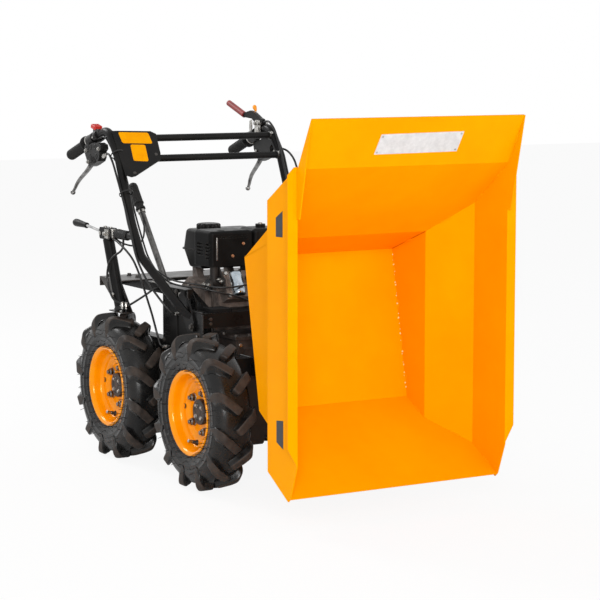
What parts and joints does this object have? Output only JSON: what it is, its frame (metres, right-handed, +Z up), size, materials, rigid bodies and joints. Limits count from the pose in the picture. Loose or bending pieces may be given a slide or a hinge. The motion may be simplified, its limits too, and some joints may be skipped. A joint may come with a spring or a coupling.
{
  "type": "walk-behind wheeled mini dumper",
  "caption": "Walk-behind wheeled mini dumper with a petrol engine, handlebar controls, lugged tyres and a sheet steel skip that tips forward.",
  "frame": {"origin": "on the ground, below the middle of the whole machine with its skip tipped forward", "axes": "+X forward towards the skip, +Y to the machine's left, +Z up"},
  "size_m": [1.4502, 0.66, 1.0015],
  "materials": {
    "black_plastic": "fine grain",
    "black_paint": "satin black powder coat",
    "lever_chrome": "bright",
    "cable_sleeve": "smooth sleeve",
    "red_plastic": "satin",
    "engine_alloy": "die cast",
    "casting": "rough casting",
    "grip_rubber": "matt, ribbed",
    "hub_steel": "dark oiled steel",
    "perch_plastic": "matt",
    "rim_paint": "gloss yellow-orange paint",
    "skip_paint": "gloss yellow-orange powder coat",
    "pad_rubber": "matt",
    "orange_plastic": "satin",
    "bare_steel": "bare, brushed",
    "tyre_rubber": "moulded rubber",
    "polished_alloy": "polished"
  },
  "bodies": {
    "chassis": {"air_cleaner": "black_plastic", "belt_guard": "black_paint", "brake_lever_left": "lever_chrome", "brake_lever_right": "lever_chrome", "cable_brake_left": "cable_sleeve", "cable_brake_right": "cable_sleeve", "cable_clutch": "cable_sleeve", "cable_gear": "cable_sleeve", "cable_lock": "cable_sleeve", "cable_loop": "cable_sleeve", "cable_post": "cable_sleeve", "cable_stop": "cable_sleeve", "cable_throttle": "cable_sleeve", "clutch_lever": "black_paint", "clutch_sleeve": "red_plastic", "control_panel": "black_paint", "drive_tunnel_front": "black_paint", "drive_tunnel_rear": "black_paint", "engine_block": "engine_alloy", "exhaust_elbow": "black_paint", "frame": "black_paint", "front_axle_housing": "black_paint", "fuel_cap": "black_plastic", "fuel_tank": "black_paint", "gear_lever": "lever_chrome", "gearbox": "casting", "grip_left": "grip_rubber", "grip_right": "grip_rubber", "handlebar": "black_paint", "lever_post": "black_paint", "muffler_guard": "black_paint", "perch_left": "perch_plastic", "perch_right": "perch_plastic", "rear_axle_housing": "black_paint", "rear_deck": "black_paint", "recoil_starter": "black_plastic", "skip_rest_pads": "pad_rubber", "stop_switch": "red_plastic", "throttle_lever": "orange_plastic", "tip_lever": "bare_steel", "tip_lever_grip": "grip_rubber", "valve_cover": "polished_alloy"},
    "skip": {"skip_hinge": "skip_paint", "skip_pan": "skip_paint", "skip_side_left": "skip_paint", "skip_side_right": "skip_paint"},
    "wheel_front_left": {"tyre_front_left": "tyre_rubber", "rim_front_left": "rim_paint", "hub_front_left": "hub_steel"},
    "wheel_front_right": {"tyre_front_right": "tyre_rubber", "rim_front_right": "rim_paint", "hub_front_right": "hub_steel"},
    "wheel_rear_left": {"tyre_rear_left": "tyre_rubber", "rim_rear_left": "rim_paint", "hub_rear_left": "hub_steel"},
    "wheel_rear_right": {"tyre_rear_right": "tyre_rubber", "rim_rear_right": "rim_paint", "hub_rear_right": "hub_steel"}
  },
  "joints": [
    {"name": "wheel_spin_front_left", "type": "hinge", "parent": "chassis", "child": "wheel_front_left", "pos_m": [0.07211, 0.25, 0.2075], "axis": [0, 1, 0], "continuous": true},
    {"name": "wheel_spin_front_right", "type": "hinge", "parent": "chassis", "child": "wheel_front_right", "pos_m": [0.07211, -0.25, 0.2075], "axis": [0, 1, 0], "continuous": true},
    {"name": "wheel_spin_rear_left", "type": "hinge", "parent": "chassis", "child": "wheel_rear_left", "pos_m": [-0.43389, 0.25, 0.2075], "axis": [0, 1, 0], "continuous": true},
    {"name": "wheel_spin_rear_right", "type": "hinge", "parent": "chassis", "child": "wheel_rear_right", "pos_m": [-0.43389, -0.25, 0.2075], "axis": [0, 1, 0], "continuous": true},
    {"name": "skip_tip", "type": "hinge", "parent": "chassis", "child": "skip", "pos_m": [0.18011, 0, 0.329], "axis": [0, 1, 0], "range_deg": [-79, 0]}
  ]
}
